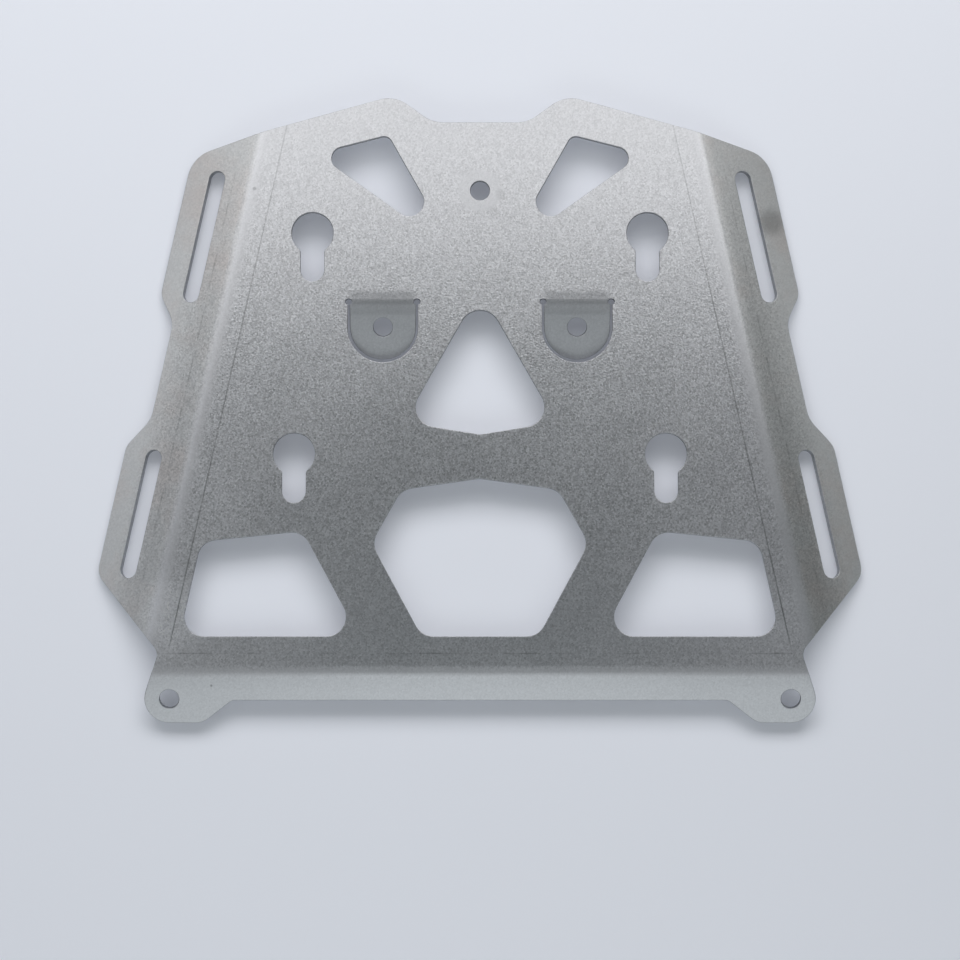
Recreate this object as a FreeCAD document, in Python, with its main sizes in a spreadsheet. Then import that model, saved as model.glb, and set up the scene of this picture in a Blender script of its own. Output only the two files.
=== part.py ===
"""Top case mounting plate: one aluminium sheet, cut out flat and then folded.

The frame has +X to the plate's right, +Y from the wide front end to the narrow rear end and +Z up, with
the origin in the middle under the plate, on the surface that it lies on. Sizes are in millimetres and
degrees. Positions along the plate are measured from the front fold, and across it from its middle plane.
"""
import FreeCAD
import Part
import math
import os
import Sketcher

from FreeCAD import Vector

START, END, CENTRE = range(1, 4)  # the points of a line or an arc in a sketch
SNAP = 0.01  # how near a corner counts as found
FOLD_STEPS = 2  # sections through a fold after its first
FILLET_SHARE = 0.95  # how much of a short edge a round may use

SIZES = [
    ("sheet_thickness", 3, "thickness of the sheet"),
    ("fold_radius", 15, "outside radius of the side folds and the front fold"),
    ("side_fold_angle", 18, "how far each side flange turns down"),
    ("side_fold_lean", 12.3, "angle between a side fold and the middle plane"),
    ("side_fold_reach", 155.7, "middle plane to the side fold, level with the front fold"),
    ("mount_fold_angle", 16, "how far the front flange and the tabs turn down, all parallel"),
    ("rear_edge", 256, "front fold to the middle of the rear edge"),
    ("rear_edge_half", 22.2, "half length of the middle of the rear edge"),
    ("horn_reach", 39.7, "middle plane to the horn's corner"),
    ("horn_rise", 12.7, "rear edge to the horn's corner"),
    ("horn_round", 15, "radius of the horn and of the hollow beside it"),
    ("rear_slope", 15.6, "slope of the rear edge from the horn outwards"),
    ("notch_height", 9.8, "front fold to the notch in the front corner"),
    ("notch_round", 6, "radius in the notch"),
    ("corner_slope", 49.5, "slope of the front corner's edge, from the notch outwards"),
    ("lobe_reach", 32.6, "side fold to the outer edge of a strap lobe"),
    ("waist_reach", 23.3, "side fold to the outer edge between the strap lobes"),
    ("front_lobe_end", 101.4, "rear end of the front lobe's outer edge, along the side fold"),
    ("front_lobe_ramp", 14.6, "length of the ramp from the front lobe to the waist"),
    ("rear_lobe_inset", 82.3, "how far short of rear_edge the rear lobe starts, along the side fold"),
    ("rear_lobe_ramp", 11.4, "length of the ramp from the waist to the rear lobe"),
    ("lobe_round", 9, "radius of the lobe corners"),
    ("rear_lobe_round", 15, "radius of the rear lobe's rear corner"),
    ("waist_round", 12, "radius of the hollows at the waist"),
    ("strap_slot_width", 8, "width of a strap slot"),
    ("strap_slot_reach", 17.6, "side fold to the middle of a strap slot"),
    ("front_slot_middle", 71.8, "middle of the front strap slot, along the side fold"),
    ("front_slot_length", 60.6, "length of the front strap slot"),
    ("rear_slot_inset", 51.8, "how far short of rear_edge the rear slot's middle is, along the side fold"),
    ("rear_slot_length", 63, "length of the rear strap slot"),
    ("bolt_hole", 9, "diameter of the holes in the front flange and the tabs"),
    ("front_hole_inset", 12.9, "side fold to a hole in the front flange, across"),
    ("front_hole_drop", 12.1, "front fold to a hole in the front flange"),
    ("front_edge_drop", 12.8, "front fold to the front flange's edge"),
    ("foot_round", 11.4, "radius of the front flange's feet round their holes"),
    ("foot_flare", 18.3, "slope of the foot's outer edge"),
    ("foot_inner_gap", 15.3, "hole in the front flange to the inner corner under its foot"),
    ("foot_ramp", 13.5, "length of the ramp from the foot to the front flange's edge"),
    ("foot_inner_round", 9, "radius of the foot's inner corner"),
    ("foot_hollow_round", 4, "radius where the foot's ramp meets the front flange's edge"),
    ("tab_reach", 45, "middle plane to the middle of a tab"),
    ("tab_fold_place", 171.6, "front fold to a tab's fold"),
    ("tab_length", 11.7, "tab's fold to its hole"),
    ("tab_fold_radius", 12, "outside radius of a tab's fold"),
    ("tab_round", 15.3, "radius of the tab round its hole, half of its width"),
    ("tab_gap", 1, "width of the cut round a tab"),
    ("tab_relief", 3, "diameter of the holes at the ends of that cut"),
    ("keyhole_head", 19.4, "diameter of a keyhole's head"),
    ("keyhole_neck", 11, "width of a keyhole's neck"),
    ("keyhole_travel", 17.1, "keyhole's head to the end of its neck, middle to middle"),
    ("keyhole_throat_round", 2, "radius where a keyhole's neck meets its head"),
    ("rear_keyhole_reach", 77.7, "middle plane to a rear keyhole"),
    ("rear_keyhole_inset", 52.1, "rear edge to the head of a rear keyhole"),
    ("front_keyhole_reach", 85.8, "middle plane to a front keyhole"),
    ("front_keyhole_clearance", 35.7, "side window's inner rear corner to the head of a front keyhole"),
    ("rear_hole", 9, "diameter of the hole near the rear edge"),
    ("rear_hole_inset", 32.2, "rear edge to that hole"),
    ("horn_window_inner_reach", 42.7, "horn window's inner rear corner, across"),
    ("horn_window_inner_inset", 6.1, "rear edge to the horn window's inner rear corner"),
    ("horn_window_outer_reach", 76.1, "horn window's outer corner, across"),
    ("horn_window_outer_inset", 14.7, "rear edge to the horn window's outer corner"),
    ("horn_window_tip_reach", 11.8, "horn window's front tip before it is rounded, across"),
    ("horn_window_tip_inset", 60.8, "rear edge to the horn window's front tip before it is rounded"),
    ("horn_window_inner_round", 4, "radius of the horn window's inner rear corner"),
    ("horn_window_outer_round", 5.4, "radius of the horn window's outer corner"),
    ("horn_window_tip_round", 6.8, "radius of the horn window's front tip"),
    ("crossbar_width", 20.4, "middle window's rear peak to the arrow window"),
    ("arrow_length", 67.3, "middle of the arrow window's front edge to its tip before that is rounded"),
    ("arrow_corner_reach", 35.2, "arrow window's front corner, across"),
    ("arrow_corner_rise", 5.7, "middle of the arrow window's front edge to its front corner, along"),
    ("arrow_round", 9.4, "radius of the arrow window's corners"),
    ("middle_window_peak_place", 89.7, "middle window's rear peak"),
    ("middle_window_shoulder_reach", 36.1, "middle window's shoulder, across"),
    ("middle_window_shoulder_drop", 5.1, "middle window's rear peak to its shoulder, along"),
    ("middle_window_side_reach", 50, "middle window's widest corner, across"),
    ("middle_window_side_drop", 29.8, "middle window's rear peak to its widest corner, along"),
    ("middle_window_foot_reach", 26.8, "middle window's front corner, across"),
    ("middle_window_round", 9.5, "radius of the middle window's corners"),
    ("strut_width", 28.7, "middle window to the side window beside it, across"),
    ("side_window_margin", 14, "side window's outer edge to the side fold, across"),
    ("side_window_inner_place", 65.4, "side window's inner rear corner, along"),
    ("side_window_outer_place", 60.7, "side window's outer rear corner, along"),
    ("side_window_round", 9, "radius of the side window's corners"),
    ("window_front_place", 17, "front fold to the front edges of the middle and side windows"),
]

document = FreeCAD.newDocument("top_case_mounting_plate")
sizes = document.addObject("Spreadsheet::Sheet", "sizes")
for row, (alias, value, meaning) in enumerate(SIZES, start=1):
    sizes.set(f"A{row}", meaning)
    sizes.set(f"B{row}", str(value))
    sizes.setAlias(f"B{row}", alias)
document.recompute()

plate = document.addObject("PartDesign::Body", "mounting_plate")
plate.Label = "mounting_plate"
planes = {feature.Role: feature for feature in plate.Origin.OriginFeatures}


# Sketches, features and rounded corners

def sketch_on(name, frame):
    """A sketch in the plane that the frame's formula gives, in the plate's own coordinates."""
    sketch = plate.newObject("Sketcher::SketchObject", name)
    sketch.AttachmentSupport = [(planes["XY_Plane"], "")]
    sketch.MapMode = "FlatFace"
    sketch.setExpression("AttachmentOffset", frame)
    return sketch


def worth(formula):
    """The formula's value with the sheet's present sizes."""
    return float(sizes.evalExpression(formula))


def bind(sketch, kind, references, formula):
    """A dimension of the sketch that follows the formula, or a point on an axis where the formula is 0."""
    if formula == "0":
        axis = -2 if kind == "DistanceX" else -1
        sketch.addConstraint(Sketcher.Constraint("PointOnObject", *references[-2:], axis))
        return
    index = sketch.addConstraint(Sketcher.Constraint(kind, *references, worth(formula)))
    sketch.setExpression(f"Constraints[{index}]", formula)


def place(sketch, piece, point, x, y):
    """Ties a point of a line or an arc to its place from the sketch's origin."""
    bind(sketch, "DistanceX", (-1, 1, piece, point), x)
    bind(sketch, "DistanceY", (-1, 1, piece, point), y)


def polygon(name, frame, corners):
    """A closed outline of straight edges through the corners, each a pair of formulas."""
    sketch = sketch_on(name, frame)
    points = [Vector(worth(x), worth(y), 0) for x, y in corners]
    count = len(points)
    sketch.addGeometry([Part.LineSegment(points[i], points[(i + 1) % count]) for i in range(count)])
    for i in range(count):
        sketch.addConstraint(Sketcher.Constraint("Coincident", i, END, (i + 1) % count, START))
    for i, (x, y) in enumerate(corners):
        place(sketch, i, START, x, y)
    return sketch


def arc(x, y, radius, first, last):
    """An arc of a circle, counter-clockwise between two angles in degrees."""
    circle = Part.Circle(Vector(worth(x), worth(y), 0), Vector(0, 0, 1), worth(radius))
    return Part.ArcOfCircle(circle, math.radians(first), math.radians(last))


def line(x1, y1, x2, y2):
    """A straight edge between two places."""
    return Part.LineSegment(Vector(worth(x1), worth(y1), 0), Vector(worth(x2), worth(y2), 0))


def circle(name, frame, x, y, diameter):
    """A round hole's outline."""
    sketch = sketch_on(name, frame)
    sketch.addGeometry(Part.Circle(Vector(worth(x), worth(y), 0), Vector(0, 0, 1), worth(diameter) / 2))
    place(sketch, 0, CENTRE, x, y)
    bind(sketch, "Diameter", (0,), diameter)
    return sketch


def slot(name, frame, x, y, length, width):
    """A slot with round ends, along the sketch's second axis."""
    sketch = sketch_on(name, frame)
    half = f"{width} / 2"
    low, high = f"{y} - ({length} - {width}) / 2", f"{y} + ({length} - {width}) / 2"
    left, right = f"{x} - {half}", f"{x} + {half}"
    far_arc, near_arc, left_side, right_side = sketch.addGeometry([
        arc(x, high, half, 0, 180), arc(x, low, half, 180, 360),
        line(left, high, left, low), line(right, low, right, high)])
    ring = [far_arc, left_side, near_arc, right_side]
    for first, second in zip(ring, ring[1:] + ring[:1]):
        sketch.addConstraint(Sketcher.Constraint("Tangent", first, END, second, START))
    sketch.addConstraint(Sketcher.Constraint("Equal", far_arc, near_arc))
    sketch.addConstraint(Sketcher.Constraint("Vertical", left_side))
    place(sketch, far_arc, CENTRE, x, high)
    bind(sketch, "DistanceY", (-1, 1, near_arc, CENTRE), low)
    bind(sketch, "Radius", (far_arc,), half)
    return sketch


def keyhole(name, frame, x, y):
    """A round head with a narrower neck that runs towards the front."""
    sketch = sketch_on(name, frame)
    head, half = "sizes.keyhole_head / 2", "sizes.keyhole_neck / 2"
    stop = f"{y} - sizes.keyhole_travel"
    throat = math.degrees(math.asin(worth(half) / worth(head)))
    mouth = f"{y} - sqrt(({head})^2 - ({half})^2)"
    left, right = f"{x} - {half}", f"{x} + {half}"
    head_arc, neck_arc, left_side, right_side = sketch.addGeometry([
        arc(x, y, head, throat - 90, 270 - throat), arc(x, stop, half, 180, 360),
        line(left, mouth, left, stop), line(right, stop, right, mouth)])
    sketch.addConstraint(Sketcher.Constraint("Coincident", head_arc, END, left_side, START))
    sketch.addConstraint(Sketcher.Constraint("Tangent", left_side, END, neck_arc, START))
    sketch.addConstraint(Sketcher.Constraint("Tangent", neck_arc, END, right_side, START))
    sketch.addConstraint(Sketcher.Constraint("Coincident", right_side, END, head_arc, START))
    sketch.addConstraint(Sketcher.Constraint("Vertical", left_side))
    sketch.addConstraint(Sketcher.Constraint("Vertical", right_side))
    place(sketch, head_arc, CENTRE, x, y)
    bind(sketch, "Radius", (head_arc,), head)
    place(sketch, neck_arc, CENTRE, x, stop)
    bind(sketch, "Radius", (neck_arc,), half)
    return sketch


def tongue(name, frame, start, x, y, radius):
    """A strip as wide as its round end, from the start line along the sketch's first axis."""
    sketch = sketch_on(name, frame)
    low, high = f"{y} - ({radius})", f"{y} + ({radius})"
    low_side, round_end, high_side, root = sketch.addGeometry([
        line(start, low, x, low), arc(x, y, radius, -90, 90),
        line(x, high, start, high), line(start, high, start, low)])
    sketch.addConstraint(Sketcher.Constraint("Tangent", low_side, END, round_end, START))
    sketch.addConstraint(Sketcher.Constraint("Tangent", round_end, END, high_side, START))
    sketch.addConstraint(Sketcher.Constraint("Coincident", high_side, END, root, START))
    sketch.addConstraint(Sketcher.Constraint("Coincident", root, END, low_side, START))
    sketch.addConstraint(Sketcher.Constraint("Horizontal", low_side))
    sketch.addConstraint(Sketcher.Constraint("Horizontal", high_side))
    sketch.addConstraint(Sketcher.Constraint("Vertical", root))
    place(sketch, round_end, CENTRE, x, y)
    bind(sketch, "Radius", (round_end,), radius)
    bind(sketch, "DistanceX", (-1, 1, root, START), start)
    return sketch


def sheet_from(sketch):
    """One thickness of sheet under the sketch, joined to the plate."""
    pad = plate.newObject("PartDesign::Pad", f"{sketch.Name}_sheet")
    pad.Profile = sketch
    pad.Reversed = True
    pad.setExpression("Length", "sizes.sheet_thickness")
    document.recompute()
    return pad


def cut_out(sketch):
    """Cuts the sketch's outline right through the sheet."""
    pocket = plate.newObject("PartDesign::Pocket", f"{sketch.Name}_cut")
    pocket.Profile = sketch
    pocket.Type = "ThroughAll"
    document.recompute()
    return pocket


def corner_edges(shape, sketch, corners):
    """Names of the shape's edges that cross the sheet at the sketch's numbered corners."""
    through = sketch.Placement.Rotation.multVec(Vector(0, 0, -worth("sizes.sheet_thickness")))
    names = []
    for corner in corners:
        top = sketch.Placement.multVec(sketch.Geometry[corner].StartPoint)
        for number, edge in enumerate(shape.Edges, start=1):
            ends = [vertex.Point for vertex in edge.Vertexes]
            if all(any(end.distanceToPoint(spot) < SNAP for end in ends) for spot in (top, top + through)):
                names.append(f"Edge{number}")
    return names


def round_off(sketch, corners, radius):
    """Rounds the sheet's corners that stand at the sketch's numbered corners."""
    base = plate.Tip
    fillet = plate.newObject("PartDesign::Fillet", f"{sketch.Name}_round_{corners[0]}")
    fillet.Base = (base, corner_edges(base.Shape, sketch, corners))
    fillet.setExpression("Radius", radius)
    document.recompute()
    return fillet


# Where the folds are, and how far the flat faces stop short of them

FLAT = "placement(vector(0; 0; 0); rotation(vector(0; 0; 1); 0))"
SIDE_FOLD = ("placement(vector(sizes.side_fold_reach; 0; 0);"
             " rotation(vector(0; 0; 1); sizes.side_fold_lean))")
FRONT_FOLD = "placement(vector(0; 0; 0); rotation(vector(0; 0; 1); -90))"
TAB_FOLD = "placement(vector(0; sizes.tab_fold_place; 0); rotation(vector(0; 0; 1); -90))"
SIDE_SETBACK = "sizes.fold_radius * tan(sizes.side_fold_angle / 2)"
FRONT_SETBACK = "sizes.fold_radius * tan(sizes.mount_fold_angle / 2)"
TAB_SETBACK = "sizes.tab_fold_radius * tan(sizes.mount_fold_angle / 2)"


def folded(fold, angle):
    """The frame of the flat face beyond a fold."""
    return f"{fold} * placement(vector(0; 0; 0); rotation(vector(0; 1; 0); {angle}))"


def fold_sheet(name, fold, angle, radius, near, far):
    """The curved strip of a fold, from its near edge on the panel to its far edge on the flange.

    Each edge is a pair of formulas, the places along the fold where the strip starts and ends.
    """
    setback = f"{radius} * tan({angle} / 2)"
    inside = f"{radius} - sizes.sheet_thickness"
    sections = []
    for step in range(FOLD_STEPS + 1):
        share = step / FOLD_STEPS
        turn = f"rotation(vector(0; 1; 0); {angle} * {share}) * rotation(vector(1; 1; 1); 120)"
        frame = f"{fold} * placement(vector(-{setback}; 0; -{radius}); {turn})"
        low, high = (f"({a}) * {1 - share} + ({b}) * {share}" for a, b in zip(near, far))
        corners = [(low, inside), (high, inside), (high, radius), (low, radius)]
        sections.append(polygon(f"{name}_section_{step}", frame, corners))
    loft = plate.newObject("PartDesign::AdditiveLoft", name)
    loft.Profile = sections[0]
    loft.Sections = sections[1:]
    document.recompute()
    return loft


def window(name, corners, rounds):
    """Cuts a window with straight edges; rounds gives the radius and the corners that it rounds."""
    outline = polygon(name, FLAT, corners)
    cut_out(outline)
    for radius, rounded in rounds:
        round_off(outline, rounded, f"sizes.{radius}")
    return outline


# The panel's outline on the right of the middle plane

FRONT_HOLE = "(sizes.side_fold_reach - sizes.front_hole_inset)"
FOOT_SIDE = f"{FRONT_HOLE} + sizes.foot_round / cos(sizes.foot_flare)"
HORN = ("sizes.horn_reach", "(sizes.rear_edge + sizes.horn_rise)")


def foot_edge(drop):
    """Distance from the middle plane to the foot's outer edge, at a distance down from the front fold."""
    return f"{FOOT_SIDE} + ({drop} - sizes.front_hole_drop) * tan(sizes.foot_flare)"


NOTCH = (f"({foot_edge('-sizes.notch_height')})", "sizes.notch_height")


def beyond_side_fold(x, y):
    """How far a point of the flat panel lies out from the side fold and along it."""
    across = f"({x} - sizes.side_fold_reach)"
    out = f"({across} * cos(sizes.side_fold_lean) + {y} * sin(sizes.side_fold_lean))"
    along = f"({y} * cos(sizes.side_fold_lean) - {across} * sin(sizes.side_fold_lean))"
    return out, along


def rear_end(out):
    """Where the rear edge crosses a line beside the side fold."""
    horn_out, horn_along = beyond_side_fold(*HORN)
    return f"{horn_along} - ({out} - {horn_out}) * tan(sizes.side_fold_lean + sizes.rear_slope)"


def front_end(out):
    """Where the front corner's edge crosses a line beside the side fold."""
    notch_out, notch_along = beyond_side_fold(*NOTCH)
    return f"{notch_along} + ({out} - {notch_out}) * tan(sizes.corner_slope - sizes.side_fold_lean)"


def on_panel(out, along):
    """The place on the panel of a point given from the side fold."""
    across = f"({out}) * cos(sizes.side_fold_lean) - ({along}) * sin(sizes.side_fold_lean)"
    ahead = f"({out}) * sin(sizes.side_fold_lean) + ({along}) * cos(sizes.side_fold_lean)"
    return f"sizes.side_fold_reach + {across}", ahead


INSIDE_SIDE_FOLD = f"-{SIDE_SETBACK}"
NOTCH_GAP = f"({INSIDE_SIDE_FOLD} - {beyond_side_fold(*NOTCH)[0]})"
NOTCH_EDGE = f"{NOTCH_GAP} / cos(sizes.corner_slope - sizes.side_fold_lean)"
NOTCH_TURN = "(90 + sizes.foot_flare - sizes.corner_slope)"
NOTCH_ROOM = f"{FILLET_SHARE} * {NOTCH_EDGE} / tan({NOTCH_TURN} / 2)"
panel = polygon("panel", FLAT, [
    ("0", FRONT_SETBACK),
    (foot_edge(f"-{FRONT_SETBACK}"), FRONT_SETBACK),
    NOTCH,
    on_panel(INSIDE_SIDE_FOLD, front_end(INSIDE_SIDE_FOLD)),
    on_panel(INSIDE_SIDE_FOLD, rear_end(INSIDE_SIDE_FOLD)),
    HORN,
    ("sizes.rear_edge_half", "sizes.rear_edge"),
    ("0", "sizes.rear_edge"),
])
sheet_from(panel)
round_off(panel, [2], f"min(sizes.notch_round; {NOTCH_ROOM})")
round_off(panel, [5, 6], "sizes.horn_round")

# The keyholes and windows of the panel

FRONT_KEYHOLE = "(sizes.side_window_inner_place + sizes.front_keyhole_clearance)"
REAR_KEYHOLE = "(sizes.rear_edge - sizes.rear_keyhole_inset)"
for end, head in (("front", FRONT_KEYHOLE), ("rear", REAR_KEYHOLE)):
    outline = keyhole(f"{end}_keyhole", FLAT, f"sizes.{end}_keyhole_reach", head)
    cut_out(outline)
    round_off(outline, [2, 0], "sizes.keyhole_throat_round")
window("horn_window", [
    ("sizes.horn_window_inner_reach", "sizes.rear_edge - sizes.horn_window_inner_inset"),
    ("sizes.horn_window_outer_reach", "sizes.rear_edge - sizes.horn_window_outer_inset"),
    ("sizes.horn_window_tip_reach", "sizes.rear_edge - sizes.horn_window_tip_inset"),
], [("horn_window_inner_round", [0]), ("horn_window_outer_round", [1]), ("horn_window_tip_round", [2])])
MIDDLE_SIDE = "(sizes.middle_window_peak_place - sizes.middle_window_side_drop)"
window("middle_window", [
    ("0", "sizes.middle_window_peak_place"),
    ("sizes.middle_window_shoulder_reach",
     "sizes.middle_window_peak_place - sizes.middle_window_shoulder_drop"),
    ("sizes.middle_window_side_reach", MIDDLE_SIDE),
    ("sizes.middle_window_foot_reach", "sizes.window_front_place"),
    ("0", "sizes.window_front_place"),
], [("middle_window_round", [1, 2, 3])])


def beside_strut(y):
    """The side window's inner edge, which runs along the middle window's edge."""
    spread = "(sizes.middle_window_side_reach - sizes.middle_window_foot_reach)"
    share = f"({y} - sizes.window_front_place) / ({MIDDLE_SIDE} - sizes.window_front_place)"
    return f"sizes.middle_window_foot_reach + sizes.strut_width + {spread} * {share}"


def beside_side_fold(y):
    """The side window's outer edge, which runs along the side fold."""
    return f"sizes.side_fold_reach - sizes.side_window_margin - {y} * tan(sizes.side_fold_lean)"


window("side_window", [
    (beside_strut("sizes.side_window_inner_place"), "sizes.side_window_inner_place"),
    (beside_side_fold("sizes.side_window_outer_place"), "sizes.side_window_outer_place"),
    (beside_side_fold("sizes.window_front_place"), "sizes.window_front_place"),
    (beside_strut("sizes.window_front_place"), "sizes.window_front_place"),
], [("side_window_round", [0, 1, 2, 3])])
ARROW_KEEL = "(sizes.middle_window_peak_place + sizes.crossbar_width)"
arrow_window = window("arrow_window", [
    ("0", f"{ARROW_KEEL} + sizes.arrow_length"),
    ("sizes.arrow_corner_reach", f"{ARROW_KEEL} + sizes.arrow_corner_rise"),
    ("0", ARROW_KEEL),
], [("arrow_round", [1])])

# The side flange with its two strap lobes

fold_sheet("side_fold", SIDE_FOLD, "sizes.side_fold_angle", "sizes.fold_radius",
           near=(front_end(INSIDE_SIDE_FOLD), rear_end(INSIDE_SIDE_FOLD)),
           far=(front_end(SIDE_SETBACK), rear_end(SIDE_SETBACK)))
SIDE_FACE = folded(SIDE_FOLD, "sizes.side_fold_angle")
REAR_LOBE = "(sizes.rear_edge - sizes.rear_lobe_inset)"
side_flange = polygon("side_flange", SIDE_FACE, [
    (SIDE_SETBACK, front_end(SIDE_SETBACK)),
    ("sizes.lobe_reach", front_end("sizes.lobe_reach")),
    ("sizes.lobe_reach", "sizes.front_lobe_end"),
    ("sizes.waist_reach", "sizes.front_lobe_end + sizes.front_lobe_ramp"),
    ("sizes.waist_reach", f"{REAR_LOBE} - sizes.rear_lobe_ramp"),
    ("sizes.lobe_reach", REAR_LOBE),
    ("sizes.lobe_reach", rear_end("sizes.lobe_reach")),
    (SIDE_SETBACK, rear_end(SIDE_SETBACK)),
])
sheet_from(side_flange)
round_off(side_flange, [1, 2, 5], "sizes.lobe_round")
round_off(side_flange, [3, 4], "sizes.waist_round")
round_off(side_flange, [6], "sizes.rear_lobe_round")
REAR_SLOT = "(sizes.rear_edge - sizes.rear_slot_inset)"
for end, middle in (("front", "sizes.front_slot_middle"), ("rear", REAR_SLOT)):
    cut_out(slot(f"{end}_strap_slot", SIDE_FACE, "sizes.strap_slot_reach", middle,
                 f"sizes.{end}_slot_length", "sizes.strap_slot_width"))

# The front flange with its feet

INSIDE_FRONT_FOLD = f"-{FRONT_SETBACK}"
fold_sheet("front_fold", FRONT_FOLD, "sizes.mount_fold_angle", "sizes.fold_radius",
           near=("0", foot_edge(INSIDE_FRONT_FOLD)), far=("0", foot_edge(FRONT_SETBACK)))
FRONT_FACE = folded(FRONT_FOLD, "sizes.mount_fold_angle")
FOOT_DROP = "(sizes.front_hole_drop + sizes.foot_round)"
FOOT_INNER = f"({FRONT_HOLE} - sizes.foot_inner_gap)"
front_flange = polygon("front_flange", FRONT_FACE, [
    (FRONT_SETBACK, "0"),
    ("sizes.front_edge_drop", "0"),
    ("sizes.front_edge_drop", f"{FOOT_INNER} - sizes.foot_ramp"),
    (FOOT_DROP, FOOT_INNER),
    (FOOT_DROP, foot_edge(FOOT_DROP)),
    (FRONT_SETBACK, foot_edge(FRONT_SETBACK)),
])
sheet_from(front_flange)
round_off(front_flange, [2], "sizes.foot_hollow_round")
round_off(front_flange, [3], "sizes.foot_inner_round")
round_off(front_flange, [4], "sizes.foot_round")
cut_out(circle("front_hole", FRONT_FACE, "sizes.front_hole_drop", FRONT_HOLE, "sizes.bolt_hole"))

# The tab, bent down out of the panel

TAB_ROOT = f"placement(vector(0; sizes.tab_fold_place + {TAB_SETBACK}; 0); rotation(vector(0; 0; 1); -90))"
cut_out(tongue("tab_opening", TAB_ROOT, "0", f"sizes.tab_length + {TAB_SETBACK}", "sizes.tab_reach",
               "sizes.tab_round + sizes.tab_gap"))
TAB_EDGES = ("sizes.tab_reach - sizes.tab_round", "sizes.tab_reach + sizes.tab_round")
fold_sheet("tab_fold", TAB_FOLD, "sizes.mount_fold_angle", "sizes.tab_fold_radius",
           near=TAB_EDGES, far=TAB_EDGES)
TAB_FACE = folded(TAB_FOLD, "sizes.mount_fold_angle")
sheet_from(tongue("tab", TAB_FACE, TAB_SETBACK, "sizes.tab_length", "sizes.tab_reach", "sizes.tab_round"))
cut_out(circle("tab_hole", TAB_FACE, "sizes.tab_length", "sizes.tab_reach", "sizes.bolt_hole"))
for side, sign in (("inner", "-"), ("outer", "+")):
    cut_out(circle(f"{side}_tab_relief", TAB_ROOT, "sizes.tab_relief / 2",
                   f"sizes.tab_reach {sign} (sizes.tab_round + sizes.tab_gap / 2)", "sizes.tab_relief"))

# The other half of the plate, and what lies on the middle plane

whole = plate.newObject("PartDesign::Mirrored", "both_halves")
whole.TransformMode = "Whole shape"
whole.MirrorPlane = (planes["YZ_Plane"], [""])
plate.Tip = whole
document.recompute()
round_off(arrow_window, [0], "sizes.arrow_round")
REAR_HOLE = "sizes.rear_edge - sizes.rear_hole_inset"
cut_out(circle("rear_hole_outline", FLAT, "0", REAR_HOLE, "sizes.rear_hole"))

# The plate lies on its strap lobes, with the origin in the middle under it

box = plate.Shape.optimalBoundingBox()
plate.Placement.Base = Vector(0, -box.Center.y, -box.ZMin)
document.recompute()

for thing in document.Objects:
    if "Invalid" in thing.State or "Error" in thing.State:
        raise RuntimeError(f"{thing.Name} failed: {thing.State}")
if plate.Shape.isNull() or not plate.Shape.isValid() or len(plate.Shape.Solids) != 1:
    raise RuntimeError(f"{plate.Label} is not one valid solid")
os.makedirs("parts", exist_ok=True)
plate.Shape.exportStep(f"parts/{plate.Label}.step")
box = plate.Shape.optimalBoundingBox()
print(f"{plate.Label}: {box.XLength:.1f} x {box.YLength:.1f} x {box.ZLength:.1f} mm,"
      f" {plate.Shape.Volume:.0f} mm3")
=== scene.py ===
"""A top case mounting plate of bare aluminium, lying face up on a pale floor in soft studio light."""
import math

import bpy
import numpy as np
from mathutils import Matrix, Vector


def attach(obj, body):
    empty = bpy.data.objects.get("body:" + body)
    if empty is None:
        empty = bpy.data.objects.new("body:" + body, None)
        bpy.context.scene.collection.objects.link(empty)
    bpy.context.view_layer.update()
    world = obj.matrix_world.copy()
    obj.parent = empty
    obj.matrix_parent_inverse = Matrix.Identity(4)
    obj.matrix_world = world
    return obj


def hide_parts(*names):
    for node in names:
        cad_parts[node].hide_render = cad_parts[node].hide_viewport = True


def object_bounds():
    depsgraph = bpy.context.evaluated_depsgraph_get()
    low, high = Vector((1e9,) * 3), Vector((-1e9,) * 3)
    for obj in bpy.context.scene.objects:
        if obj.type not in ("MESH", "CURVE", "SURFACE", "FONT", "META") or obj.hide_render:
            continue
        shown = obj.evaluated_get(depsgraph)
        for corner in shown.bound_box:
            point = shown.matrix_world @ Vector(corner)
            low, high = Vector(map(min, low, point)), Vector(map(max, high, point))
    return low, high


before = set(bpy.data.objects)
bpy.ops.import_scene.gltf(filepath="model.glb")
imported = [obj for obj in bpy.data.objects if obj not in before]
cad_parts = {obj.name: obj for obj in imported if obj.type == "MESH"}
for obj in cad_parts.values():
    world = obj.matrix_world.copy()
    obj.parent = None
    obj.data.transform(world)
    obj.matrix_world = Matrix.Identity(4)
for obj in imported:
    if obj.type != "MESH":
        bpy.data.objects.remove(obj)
cad_box = [list(corner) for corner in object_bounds()]

# The plate is one 3 mm aluminium sheet, cut out flat with a laser and then folded in a press brake.
# The cut edges were taken off by tumbling, which left a small round along every rim.

MM = 0.001
EDGE_ROUND = 0.3 * MM
EDGE_STEPS = 4
RIM_SHARE = 0.4  # how much of a rim's edge a corner's round may use, and how fast the round grows back beside it
GROWTH_PASSES = 10
FACE_SLOPE = 0.7  # a face's normal has more than this much of z, and a cut wall's has less
WELD = 0.0001 * MM

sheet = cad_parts["mounting_plate"].data
loose_points = np.empty(len(sheet.vertices) * 3)
sheet.vertices.foreach_get("co", loose_points)
loose_points = loose_points.reshape(-1, 3)
loose_corners = np.empty(len(sheet.loops), np.int32)
sheet.loops.foreach_get("vertex_index", loose_corners)
_, kept, merged = np.unique(np.round(loose_points / WELD), axis=0, return_index=True, return_inverse=True)
sheet_points = loose_points[kept]
sheet_triangles = merged.ravel()[loose_corners].reshape(-1, 3)


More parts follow.
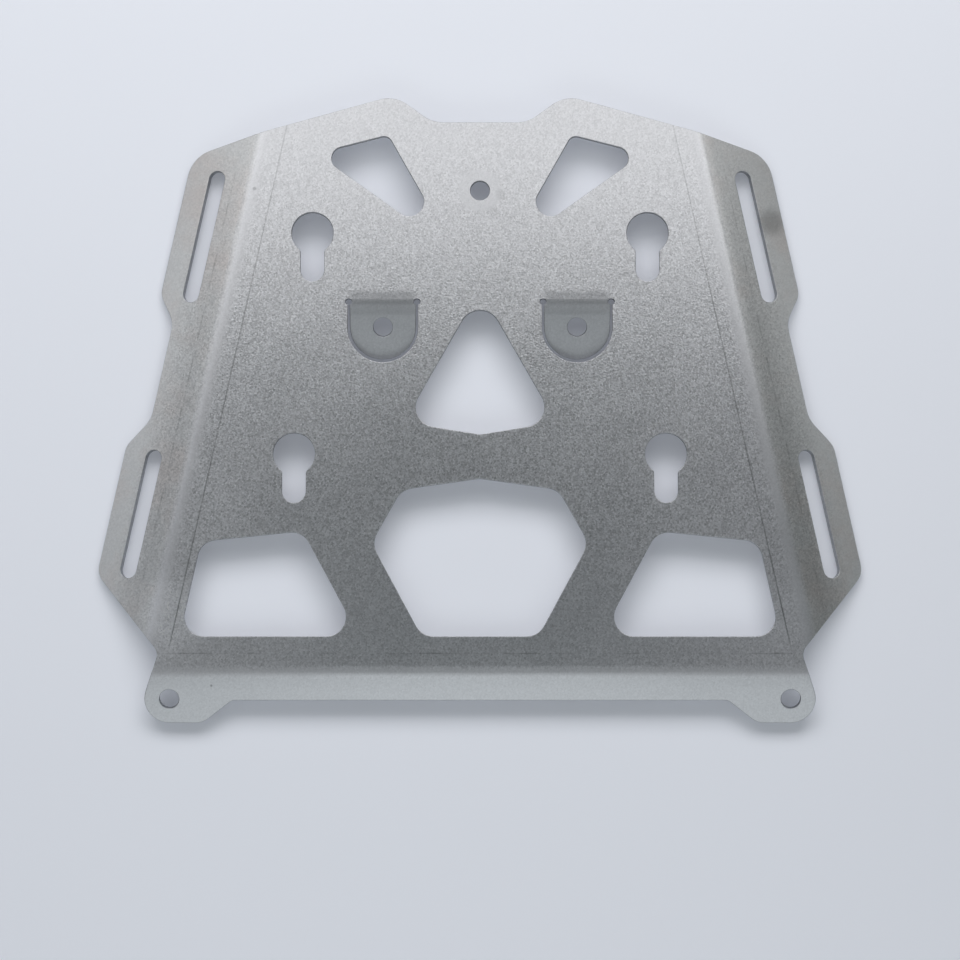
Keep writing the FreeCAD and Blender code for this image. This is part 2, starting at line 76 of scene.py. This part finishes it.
def unit(vectors):
    """Scales each row to length one, and leaves an empty row as it is."""
    return vectors / np.maximum(np.linalg.norm(vectors, axis=-1, keepdims=True), 1e-30)


def round_the_rims(points, triangles, radius, steps):
    """Rounds every rim, where a face of the sheet meets a cut wall, with a quarter circle carried along it.

    A rim point p has a face normal n and a mitred wall normal m, which is the sum of the two wall normals beside
    it over one plus their dot product. It becomes the arc p - r(m + n) + r(m sin t + n cos t), with t from zero
    on the face to a right angle on the wall. The mitre slides p along the rim by r times the tangent of half its
    corner, so r shrinks where that would use up the edge beside it, and grows back by a part of the way along the
    rim. Faces keep their triangles on the arcs' first points, walls on their last. Returns the points, the
    triangles, the smooth normals, and how far each point has turned to the wall.
    """
    a, b, c = points[triangles].transpose(1, 0, 2)
    area_normals = np.cross(b - a, c - a)
    normals = unit(area_normals)
    on_face = np.abs(normals[:, 2]) > FACE_SLOPE
    starts, ends = triangles.ravel(), np.roll(triangles, -1, axis=1).ravel()
    owners = np.repeat(np.arange(len(triangles)), 3)
    edges, twins = starts * len(points) + ends, ends * len(points) + starts
    by_edge = np.argsort(edges)
    neighbours = owners[by_edge[np.searchsorted(edges[by_edge], twins)]]
    rim = on_face[owners] & ~on_face[neighbours]

    face_normal, wall_normal, wall_before, wall_after = np.zeros((4, len(points), 3))
    np.add.at(face_normal, triangles[on_face].ravel(), np.repeat(area_normals[on_face], 3, axis=0))
    np.add.at(wall_normal, triangles[~on_face].ravel(), np.repeat(area_normals[~on_face], 3, axis=0))
    wall_after[starts[rim]] = normals[neighbours[rim]]
    wall_before[ends[rim]] = normals[neighbours[rim]]
    face_normal = unit(face_normal)
    wall_normal = unit(wall_normal)
    at_rim = np.zeros((len(points), 1))
    at_rim[starts[rim]] = 1
    mitre = (wall_before + wall_after) / (1 + np.sum(wall_before * wall_after, axis=1, keepdims=True))
    mitre = mitre - face_normal * np.sum(mitre * face_normal, axis=1, keepdims=True)
    half_corner_tangent = np.sqrt(np.maximum(np.sum(mitre ** 2, axis=1) - 1, 1e-12))
    room = np.full(len(points), np.inf)
    rim_length = np.linalg.norm(points[ends[rim]] - points[starts[rim]], axis=1)
    np.minimum.at(room, starts[rim], rim_length)
    np.minimum.at(room, ends[rim], rim_length)
    radii = np.minimum(radius, RIM_SHARE * room / half_corner_tangent)
    for _ in range(GROWTH_PASSES):
        np.minimum.at(radii, ends[rim], radii[starts[rim]] + RIM_SHARE * rim_length)
        np.minimum.at(radii, starts[rim], radii[ends[rim]] + RIM_SHARE * rim_length)
    radii = at_rim * radii[:, None]

    turn = np.linspace(0, math.pi / 2, steps + 1)[:, None, None]
    arcs = points - radii * ((1 - np.sin(turn)) * mitre + (1 - np.cos(turn)) * face_normal)
    arcs[..., 2] = np.minimum(arcs[..., 2], points[:, 2].max())  # a tilted mitre lifts nothing over the sheet's top
    arc_normals = unit(np.cos(turn) * face_normal + np.sin(turn) * wall_normal)
    turned = np.broadcast_to(np.linspace(0, 1, steps + 1)[:, None] * at_rim[:, 0], arcs.shape[:2])

    row = np.arange(steps)[:, None] * len(points)
    near_start, near_end = row + starts[rim], row + ends[rim]
    far_start, far_end = near_start + len(points), near_end + len(points)
    strips = np.stack([near_end, near_start, far_start, near_end, far_start, far_end], axis=-1).reshape(-1, 3)
    rounded = np.concatenate([triangles[on_face], strips, triangles[~on_face] + steps * len(points)])
    used, renumbered = np.unique(rounded, return_inverse=True)
    return (arcs.reshape(-1, 3)[used], renumbered.reshape(-1, 3),
            arc_normals.reshape(-1, 3)[used], turned.ravel()[used])


plate_points, plate_triangles, plate_normals, turned_to_wall = round_the_rims(
    sheet_points, sheet_triangles, EDGE_ROUND, EDGE_STEPS)
plate_mesh = bpy.data.meshes.new("folded_plate")
plate_mesh.from_pydata(plate_points.tolist(), [], plate_triangles.tolist())
plate_mesh.polygons.foreach_set("use_smooth", np.ones(len(plate_triangles), bool))
plate_mesh.normals_split_custom_set_from_vertices(plate_normals.tolist())
plate_mesh.attributes.new("cut_wall", "FLOAT", "POINT").data.foreach_set("value", turned_to_wall)
plate = bpy.data.objects.new("folded_plate", plate_mesh)
bpy.context.scene.collection.objects.link(plate)


def linear(hex_colour):
    """Turns an sRGB hex colour into linear red, green, blue and full alpha, by the sRGB curve."""
    srgb = np.array([int(hex_colour[i:i + 2], 16) for i in (1, 3, 5)]) / 255
    curve = np.where(srgb <= 0.04045, srgb / 12.92, ((srgb + 0.055) / 1.055) ** 2.4)
    return (*curve.tolist(), 1.0)


def add_node(material, kind, inputs, **settings):
    """Adds a node, gives it its settings, and links or sets each of its inputs."""
    added = material.node_tree.nodes.new(kind)
    for name, value in settings.items():
        setattr(added, name, value)
    for key, value in inputs.items():
        if isinstance(value, bpy.types.NodeSocket):
            material.node_tree.links.new(value, added.inputs[key])
        else:
            added.inputs[key].default_value = value
    return added.outputs


# Bead-blasted aluminium is a pale neutral metal with a soft even sheen, and a fine grain that sparkles where its
# small dimples turn to and from the light. Folding and handling have rubbed the grain down along the folds, on the
# tabs and on the flanges. The outer bands of the side flanges carry a painted highlight, and the cut walls are a
# darker grey, partly their own duller tone and partly painted shade.

SHEET_TOP = cad_box[1][2]
SHEET_THICKNESS = 3 * MM
SIDE_FOLD_REACH = 155.7 * MM
SIDE_FOLD_LEAN = math.radians(12.3)
FRONT_FOLD_Y = -122.357 * MM
TAB_FOLD_Y = 49.24 * MM
TAB_MIDDLE = 45.0 * MM
TAB_EDGE, TAB_INSIDE = 16.5 * MM, 13.5 * MM
SIDE_MARK_INSIDE = 10.2 * MM
SIDE_MARK_OUTSIDE = 8.75 * MM
FRONT_MARK_INSIDE = 9.2 * MM
DIE_MARK_WIDTH = 0.9 * MM
DIE_MARK_END, DIE_MARK_FULL = FRONT_FOLD_Y + 9 * MM, FRONT_FOLD_Y + 20 * MM
DIE_MARK_WEAR = 25 * MM
FOLD_START_DROP, FOLD_FULL_DROP = 0.1 * MM, 0.8 * MM
SIDE_FLANGE_START = 3 * MM
OUTER_BAND = 24 * MM
# where the painted highlight on the side flanges' outer bands is weakest and strongest, from rear to front
BAND_HIGHLIGHT_LEAST, BAND_HIGHLIGHT_MOST = 110 * MM, 20 * MM
REAR_RUB_START, REAR_RUB_FULL = 30 * MM, 130 * MM
FRONT_RUB_START, FRONT_RUB_FULL = -50 * MM, -90 * MM
REAR_HOLE_Y = 101.44 * MM
RING_INSIDE, RING_REACH = 9.1 * MM, 10.6 * MM
DIMPLE = 0.75 * MM  # real dimples are about 0.2 mm: drawn as coarse as they need to show
DIMPLE_DEPTH = 0.075 * MM
SMUDGE = 30 * MM
SMUDGE_LOW, SMUDGE_HIGH = 0.3, 0.7
LASER_LINE = 0.6 * MM  # real cut lines are about 0.2 mm apart: drawn coarser
LASER_STRETCH = 0.06  # the lines run up the wall
SPARKLE = 0.66
RUBBED_GRAIN, REAR_GRAIN, FRONT_GRAIN = 0.2, 0.35, 0.65
SIDE_FLANGE_RUB = 0.45
REAR_BAND_HIGHLIGHT = 0.2
PAINTED_BAND_GAIN = 0.3
DARK_SMUDGE, PALE_SMUDGE = 0.98, 1.015
WARM_SMUDGE = 0.45
WEAR_LOW, WEAR_HIGH = 0.35, 0.65
SMOOTHEST, ROUGHEST = 0.29, 0.32
UNDER_TURN = 0.3

aluminium = bpy.data.materials.new("bead_blasted_aluminium")
aluminium.use_nodes = True
aluminium.node_tree.nodes.clear()
place = add_node(aluminium, "ShaderNodeTexCoord", {})["Object"]
axes = add_node(aluminium, "ShaderNodeSeparateXYZ", {0: place})
in_plan = add_node(aluminium, "ShaderNodeVectorMath", {0: place, 1: (1, 1, 0)}, operation="MULTIPLY")[0]
from_middle = add_node(aluminium, "ShaderNodeMath", {0: axes["X"]}, operation="ABSOLUTE")[0]
one_half = add_node(aluminium, "ShaderNodeCombineXYZ", {0: from_middle, 1: axes["Y"]})[0]
beside_fold = add_node(aluminium, "ShaderNodeMapping", {
    "Vector": one_half, "Location": (SIDE_FOLD_REACH, FRONT_FOLD_Y, 0), "Rotation": (0, 0, SIDE_FOLD_LEAN),
}, vector_type="TEXTURE")[0]
out = add_node(aluminium, "ShaderNodeSeparateXYZ", {0: beside_fold})["X"]

# a pressed sheet starts to turn a little before its bend and goes on a little after it: each fold is sunk, from
# its start by a smooth slope to its lowest, and by another back to its end, in millimetres past the bend's middle
before_front = add_node(aluminium, "ShaderNodeMath", {0: FRONT_FOLD_Y, 1: axes["Y"]}, operation="SUBTRACT")[0]
before_tab = add_node(aluminium, "ShaderNodeMath", {0: TAB_FOLD_Y, 1: axes["Y"]}, operation="SUBTRACT")[0]
beside_tab = add_node(aluminium, "ShaderNodeMath", {0: from_middle, 1: TAB_MIDDLE}, operation="SUBTRACT")[0]
beside_tab = add_node(aluminium, "ShaderNodeMath", {0: beside_tab}, operation="ABSOLUTE")[0]
on_tab = add_node(aluminium, "ShaderNodeMapRange", {
    "Value": beside_tab, "From Min": TAB_EDGE, "From Max": TAB_INSIDE})[0]
bent = sunk = 0.0
for past_fold, start, lowest, end, depth, width in (
        (out, -6, -1, 5, 0.09, 1.0),
        (before_front, -4, -1, 8, 0.13, 1.0),
        (before_tab, -6, 1, 6, 0.2, on_tab)):
    down = add_node(aluminium, "ShaderNodeMapRange", {
        "Value": past_fold, "From Min": start * MM, "From Max": lowest * MM}, interpolation_type="SMOOTHSTEP")[0]
    back = add_node(aluminium, "ShaderNodeMapRange", {
        "Value": past_fold, "From Min": end * MM, "From Max": lowest * MM}, interpolation_type="SMOOTHSTEP")[0]
    hollow = add_node(aluminium, "ShaderNodeMath", {0: down, 1: back}, operation="MULTIPLY")[0]
    hollow = add_node(aluminium, "ShaderNodeMath", {0: hollow, 1: width}, operation="MULTIPLY")[0]
    bent = add_node(aluminium, "ShaderNodeMath", {0: hollow, 1: bent}, operation="MAXIMUM")[0]
    sunk = add_node(aluminium, "ShaderNodeMath", {0: hollow, 1: -depth, 2: sunk}, operation="MULTIPLY_ADD")[0]

# where the sheet is folded down, on either of its faces, and how much of that is a side flange or rubbed smooth
facing = add_node(aluminium, "ShaderNodeNewGeometry", {})["Normal"]
facing = add_node(aluminium, "ShaderNodeSeparateXYZ", {0: facing})["Z"]
underneath = add_node(aluminium, "ShaderNodeMapRange", {
    "Value": facing, "From Min": UNDER_TURN, "From Max": -UNDER_TURN})[0]
top_height = add_node(aluminium, "ShaderNodeMath", {
    0: underneath, 1: SHEET_THICKNESS, 2: axes["Z"]}, operation="MULTIPLY_ADD")[0]
folded = add_node(aluminium, "ShaderNodeMapRange", {
    "Value": top_height, "From Min": SHEET_TOP - FOLD_START_DROP, "From Max": SHEET_TOP - FOLD_FULL_DROP})[0]
on_side = add_node(aluminium, "ShaderNodeMapRange", {
    "Value": out, "From Min": 0.0, "From Max": SIDE_FLANGE_START})[0]
rubbed = add_node(aluminium, "ShaderNodeMath", {0: folded, 1: on_side}, operation="SUBTRACT", use_clamp=True)[0]
on_wall = add_node(aluminium, "ShaderNodeAttribute", {}, attribute_name="cut_wall")["Fac"]
hole_reach = add_node(aluminium, "ShaderNodeVectorMath", {
    0: in_plan, 1: (0, REAR_HOLE_Y, 0)}, operation="DISTANCE")["Value"]
hole_ring = add_node(aluminium, "ShaderNodeMapRange", {
    "Value": hole_reach, "From Min": RING_REACH, "From Max": RING_INSIDE})[0]
outer_band = add_node(aluminium, "ShaderNodeMapRange", {
    "Value": out, "From Min": SIDE_MARK_OUTSIDE, "From Max": OUTER_BAND})[0]
# painted highlight on the side flanges' outer bands, full from the middle forward and fainter towards the rear
painted_band_highlight = add_node(aluminium, "ShaderNodeMapRange", {
    "Value": axes["Y"], "From Min": BAND_HIGHLIGHT_LEAST, "From Max": BAND_HIGHLIGHT_MOST, "To Min": REAR_BAND_HIGHLIGHT})[0]
painted_band_highlight = add_node(aluminium, "ShaderNodeMath", {0: painted_band_highlight, 1: outer_band}, operation="MULTIPLY")[0]
smooth = add_node(aluminium, "ShaderNodeMath", {0: on_side, 1: SIDE_FLANGE_RUB}, operation="MULTIPLY")[0]
for smoother in (rubbed, hole_ring, bent, outer_band):
    smooth = add_node(aluminium, "ShaderNodeMath", {0: smooth, 1: smoother}, operation="MAXIMUM")[0]
towards_rear = add_node(aluminium, "ShaderNodeMapRange", {
    "Value": axes["Y"], "From Min": REAR_RUB_START, "From Max": REAR_RUB_FULL,
    "To Min": 1.0, "To Max": REAR_GRAIN})[0]
towards_front = add_node(aluminium, "ShaderNodeMapRange", {
    "Value": axes["Y"], "From Min": FRONT_RUB_START, "From Max": FRONT_RUB_FULL,
    "To Min": 1.0, "To Max": FRONT_GRAIN})[0]
unrubbed = add_node(aluminium, "ShaderNodeMath", {0: towards_rear, 1: towards_front}, operation="MULTIPLY")[0]
blasted = add_node(aluminium, "ShaderNodeMapRange", {
    "Value": smooth, "To Min": unrubbed, "To Max": RUBBED_GRAIN})[0]

# dimples that sparkle, broad smudges, and the upright lines of the laser on the walls
grain = add_node(aluminium, "ShaderNodeTexNoise", {
    "Vector": place, "Scale": 1 / DIMPLE, "Detail": 1.0, "Roughness": 0.5})["Fac"]
dimples = add_node(aluminium, "ShaderNodeTexVoronoi", {"Vector": place, "Scale": 1 / DIMPLE})["Color"]
sparkle = add_node(aluminium, "ShaderNodeMath", {0: dimples, 1: grain}, operation="ADD")[0]
sparkle = add_node(aluminium, "ShaderNodeMath", {0: sparkle, 1: 1.0}, operation="SUBTRACT")[0]
sparkle = add_node(aluminium, "ShaderNodeMath", {0: sparkle, 1: blasted}, operation="MULTIPLY")[0]
sparkle_tone = add_node(aluminium, "ShaderNodeMath", {
    0: sparkle, 1: SPARKLE, 2: 1.0}, operation="MULTIPLY_ADD")[0]
smudge = add_node(aluminium, "ShaderNodeTexNoise", {
    "Vector": place, "Scale": 1 / SMUDGE, "Detail": 4.0, "Roughness": 0.6})["Fac"]
smudge_tone = add_node(aluminium, "ShaderNodeMapRange", {
    "Value": smudge, "From Min": SMUDGE_LOW, "From Max": SMUDGE_HIGH,
    "To Min": DARK_SMUDGE, "To Max": PALE_SMUDGE})[0]
tone = add_node(aluminium, "ShaderNodeMath", {0: sparkle_tone, 1: smudge_tone}, operation="MULTIPLY")[0]
# the painted highlight brightens the colour of the side flanges' outer bands
band_highlight_tone = add_node(aluminium, "ShaderNodeMath", {0: painted_band_highlight, 1: PAINTED_BAND_GAIN, 2: 1.0}, operation="MULTIPLY_ADD")[0]
tone = add_node(aluminium, "ShaderNodeMath", {0: tone, 1: band_highlight_tone}, operation="MULTIPLY")[0]
upright = add_node(aluminium, "ShaderNodeVectorMath", {
    0: place, 1: (1, 1, LASER_STRETCH)}, operation="MULTIPLY")[0]
laser_lines = add_node(aluminium, "ShaderNodeTexNoise", {"Vector": upright, "Scale": 1 / LASER_LINE})["Fac"]
height = add_node(aluminium, "ShaderNodeMix", {"Factor": on_wall, "A": grain, "B": laser_lines})[0]

# the press tool's shoulders leave a thin dark line along each side of a fold, worn away in places
worn = add_node(aluminium, "ShaderNodeTexNoise", {
    "Vector": one_half, "Scale": 1 / DIE_MARK_WEAR, "Detail": 5.0, "Roughness": 0.75})["Fac"]
beyond_front = add_node(aluminium, "ShaderNodeMapRange", {
    "Value": axes["Y"], "From Min": DIE_MARK_END, "From Max": DIE_MARK_FULL})[0]
for measure, line_place, faintest, strongest, length in (
        (out, -SIDE_MARK_INSIDE, 0.25, 0.55, beyond_front),
        (out, SIDE_MARK_OUTSIDE, -0.25, 0.4, beyond_front),
        (axes["Y"], FRONT_FOLD_Y + FRONT_MARK_INSIDE, -0.2, 0.45, 1.0)):
    off_line = add_node(aluminium, "ShaderNodeMath", {0: measure, 1: line_place}, operation="SUBTRACT")[0]
    distance = add_node(aluminium, "ShaderNodeMath", {0: off_line}, operation="ABSOLUTE")[0]
    line = add_node(aluminium, "ShaderNodeMapRange", {
        "Value": distance, "From Min": DIE_MARK_WIDTH / 2, "From Max": DIE_MARK_WIDTH / 6})[0]
    depth = add_node(aluminium, "ShaderNodeMapRange", {
        "Value": worn, "From Min": WEAR_LOW, "From Max": WEAR_HIGH, "To Min": faintest, "To Max": strongest})[0]
    depth = add_node(aluminium, "ShaderNodeMath", {0: depth, 1: 0.0}, operation="MAXIMUM")[0]
    for share in (towards_rear, length, line):
        depth = add_node(aluminium, "ShaderNodeMath", {0: depth, 1: share}, operation="MULTIPLY")[0]
    kept_tone = add_node(aluminium, "ShaderNodeMath", {0: 1.0, 1: depth}, operation="SUBTRACT")[0]
    tone = add_node(aluminium, "ShaderNodeMath", {0: tone, 1: kept_tone}, operation="MULTIPLY")[0]

# small marks of use: a nick on a fold, a dent in the front flange, a dull patch on a side flange and three by the
# hole; and near each front corner a painted highlight, stronger on the left; places and reaches in millimetres
for mark_x, mark_y, reach, depth in (
        (-104.8, 102.4, 1.2, 0.35), (-123.3, -127.9, 0.8, 0.45), (136.0, 88.0, 9.0, 0.35),
        (9.6, 100.0, 3.5, 0.12), (5.2, 91.5, 3.5, 0.1), (0.0, 90.8, 3.0, 0.06),
        # painted highlights: these two brighten the colour near the front corners, more on the left
        (-143.0, -95.0, 24.0, -0.25), (143.0, -95.0, 20.0, -0.1)):
    distance = add_node(aluminium, "ShaderNodeVectorMath", {
        0: in_plan, 1: (mark_x * MM, mark_y * MM, 0)}, operation="DISTANCE")["Value"]
    kept_tone = add_node(aluminium, "ShaderNodeMapRange", {
        "Value": distance, "From Min": reach * MM, "From Max": reach * MM / 4, "To Min": 1.0, "To Max": 1.0 - depth,
    }, interpolation_type="SMOOTHSTEP")[0]
    tone = add_node(aluminium, "ShaderNodeMath", {0: tone, 1: kept_tone}, operation="MULTIPLY")[0]

# the side flanges are a little warmer in patches, the rubbed metal cooler and paler, and the cut walls darker,
# partly their own duller grey and partly painted shade
warmth = add_node(aluminium, "ShaderNodeMapRange", {
    "Value": smudge, "From Min": WARM_SMUDGE, "From Max": SMUDGE_HIGH})[0]
side_metal = add_node(aluminium, "ShaderNodeMix", {
    "Factor": warmth, 6: linear("#DADADA"), 7: linear("#D5D0CE")}, data_type="RGBA")[2]
metal = linear("#DADADD")
for where, finish in ((on_side, side_metal), (rubbed, linear("#DBDCDF")), (on_wall, linear("#A2A4A7"))):
    metal = add_node(aluminium, "ShaderNodeMix", {"Factor": where, 6: metal, 7: finish}, data_type="RGBA")[2]
colour = add_node(aluminium, "ShaderNodeVectorMath", {0: metal, "Scale": tone}, operation="SCALE")[0]
turned = add_node(aluminium, "ShaderNodeBump", {"Height": sunk, "Distance": 1 * MM})["Normal"]
normal = add_node(aluminium, "ShaderNodeBump", {
    "Height": height, "Strength": blasted, "Distance": DIMPLE_DEPTH, "Normal": turned})["Normal"]
roughness = add_node(aluminium, "ShaderNodeMapRange", {
    "Value": smudge, "From Min": SMUDGE_LOW, "From Max": SMUDGE_HIGH,
    "To Min": SMOOTHEST, "To Max": ROUGHEST})[0]
for where, added in ((rubbed, 0.06), (bent, 0.04), (painted_band_highlight, 0.1), (on_wall, 0.15)):
    roughness = add_node(aluminium, "ShaderNodeMath", {
        0: where, 1: added, 2: roughness}, operation="MULTIPLY_ADD")[0]
surface = add_node(aluminium, "ShaderNodeBsdfPrincipled", {
    "Base Color": colour, "Metallic": 1.0, "Roughness": roughness, "Normal": normal})[0]
add_node(aluminium, "ShaderNodeOutputMaterial", {"Surface": surface})

plate_mesh.materials.append(aluminium)
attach(plate, "root")
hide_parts("mounting_plate")

# The floor is a wide sheet of pale matt board under the plate. It takes the plate's soft shadows,
# and glows a little for the camera and for the metal so that it stays pale.

FLOOR_HALF = 12.0
FLOOR_GLOW = 0.13
BOARD_COLOUR = linear("#E2E5EC")

floor_mesh = bpy.data.meshes.new("floor")
floor_corners = np.array([(-1, -1, 0), (1, -1, 0), (1, 1, 0), (-1, 1, 0)]) * FLOOR_HALF
floor_mesh.from_pydata(floor_corners.tolist(), [], [(0, 1, 2, 3)])
floor = bpy.data.objects.new("floor", floor_mesh)
bpy.context.scene.collection.objects.link(floor)
board = bpy.data.materials.new("pale_matt_board")
board.use_nodes = True
board.node_tree.nodes.clear()
path = add_node(board, "ShaderNodeLightPath", {})
seen = add_node(board, "ShaderNodeMath", {0: path["Is Camera Ray"], 1: path["Is Glossy Ray"]}, operation="MAXIMUM")[0]
seen = add_node(board, "ShaderNodeMath", {0: seen, 1: path["Is Transmission Ray"]}, operation="MAXIMUM")[0]
glow = add_node(board, "ShaderNodeMath", {0: seen, 1: FLOOR_GLOW}, operation="MULTIPLY")[0]
matt = add_node(board, "ShaderNodeBsdfDiffuse", {"Color": BOARD_COLOUR})[0]
glowing = add_node(board, "ShaderNodeEmission", {"Color": BOARD_COLOUR, "Strength": glow})[0]
both = add_node(board, "ShaderNodeAddShader", {0: matt, 1: glowing})[0]
add_node(board, "ShaderNodeOutputMaterial", {"Surface": both})
floor_mesh.materials.append(board)

# The light is a soft box hung beyond the rear edge, with a small box on each side of it for the folds' bright
# streaks, a strip and a card along each side, a card in front, and a wide far lamp behind. The floor lamp, in the
# far lamp's place, lights only the board and not the metal. The dim room between them shades the panel's middle.

ROOM_LIGHT = 0.125

for name, colour_hex, radiance, centre, size, lean, in_metal in (
        ("rear_softbox", "#FFFFFF", 0.88, (0.0, 0.515, 0.5), (0.92, 0.77), 0, True),
        ("left_strip", "#FFFEFF", 0.17, (-0.22, -0.05, 0.5), (0.16, 0.7), 0, True),
        ("right_strip", "#FFFBFF", 0.14, (0.19, -0.05, 0.5), (0.12, 0.7), 0, True),
        ("left_box", "#FFFFFF", 0.34, (-0.41, 0.46, 0.49), (0.42, 0.42), 0, True),
        ("right_box", "#FFFFFF", 0.36, (0.36, 0.46, 0.49), (0.32, 0.42), 0, True),
        ("left_card", "#F8F9FF", 0.25, (-0.7, 0.1, 0.5), (0.8, 0.9), 0, True),
        ("right_card", "#FFFBF8", 0.06, (0.75, -0.05, 0.5), (0.7, 0.7), 0, True),
        ("front_card", "#F8FDFF", 0.66, (0.0, -0.49, 0.5), (1.0, 0.52), 0, True),
        ("far_lamp", "#FFFDFF", 0.7, (0.0, 1.9, 1.9), (3.0, 1.2), 45, True),
        ("floor_lamp", "#FFFDFF", 2.7, (0.0, 1.9, 1.9), (3.0, 1.2), 45, False)):
    lamp = bpy.data.lights.new(name, "AREA")
    lamp.shape = "RECTANGLE"
    lamp.size, lamp.size_y = size
    lamp.color = linear(colour_hex)[:3]
    lamp.energy = radiance * math.pi * size[0] * size[1]
    holder = bpy.data.objects.new(name, lamp)
    holder.location = centre
    holder.rotation_euler = (-math.radians(lean), 0, 0)
    holder.visible_camera = False
    holder.visible_glossy = in_metal
    bpy.context.scene.collection.objects.link(holder)

room = bpy.data.worlds.new("dim_studio")
room.use_nodes = True
room.node_tree.nodes["Background"].inputs["Color"].default_value = linear("#EEFBFF")
room.node_tree.nodes["Background"].inputs["Strength"].default_value = ROOM_LIGHT
bpy.context.scene.world = room

# The camera stands over the plate's face and a little towards its front end, so that a part of the rear wall
# shows in each opening. It is far off and has a long lens, so that the plate's edges hardly converge.

TILT = math.radians(4.5)
DISTANCE = 1382.5 * MM
AIM_FROM_FOLD = 89.0 * MM
SENSOR_WIDTH, LENS_LENGTH = 36, 112.5  # millimetres, as a camera gives them
NEAREST, FARTHEST = 0.05, 60

lens = bpy.data.cameras.new("camera")
lens.sensor_width, lens.lens = SENSOR_WIDTH, LENS_LENGTH
lens.clip_start, lens.clip_end = NEAREST, FARTHEST
camera = bpy.data.objects.new("camera", lens)
look = Vector((0, math.sin(TILT), -math.cos(TILT)))
camera.location = Vector((0, FRONT_FOLD_Y + AIM_FROM_FOLD, SHEET_TOP)) - look * DISTANCE
camera.rotation_euler = look.to_track_quat("-Z", "Y").to_euler()
bpy.context.scene.collection.objects.link(camera)
bpy.context.scene.camera = camera
bpy.context.scene.view_settings.view_transform = "Standard"
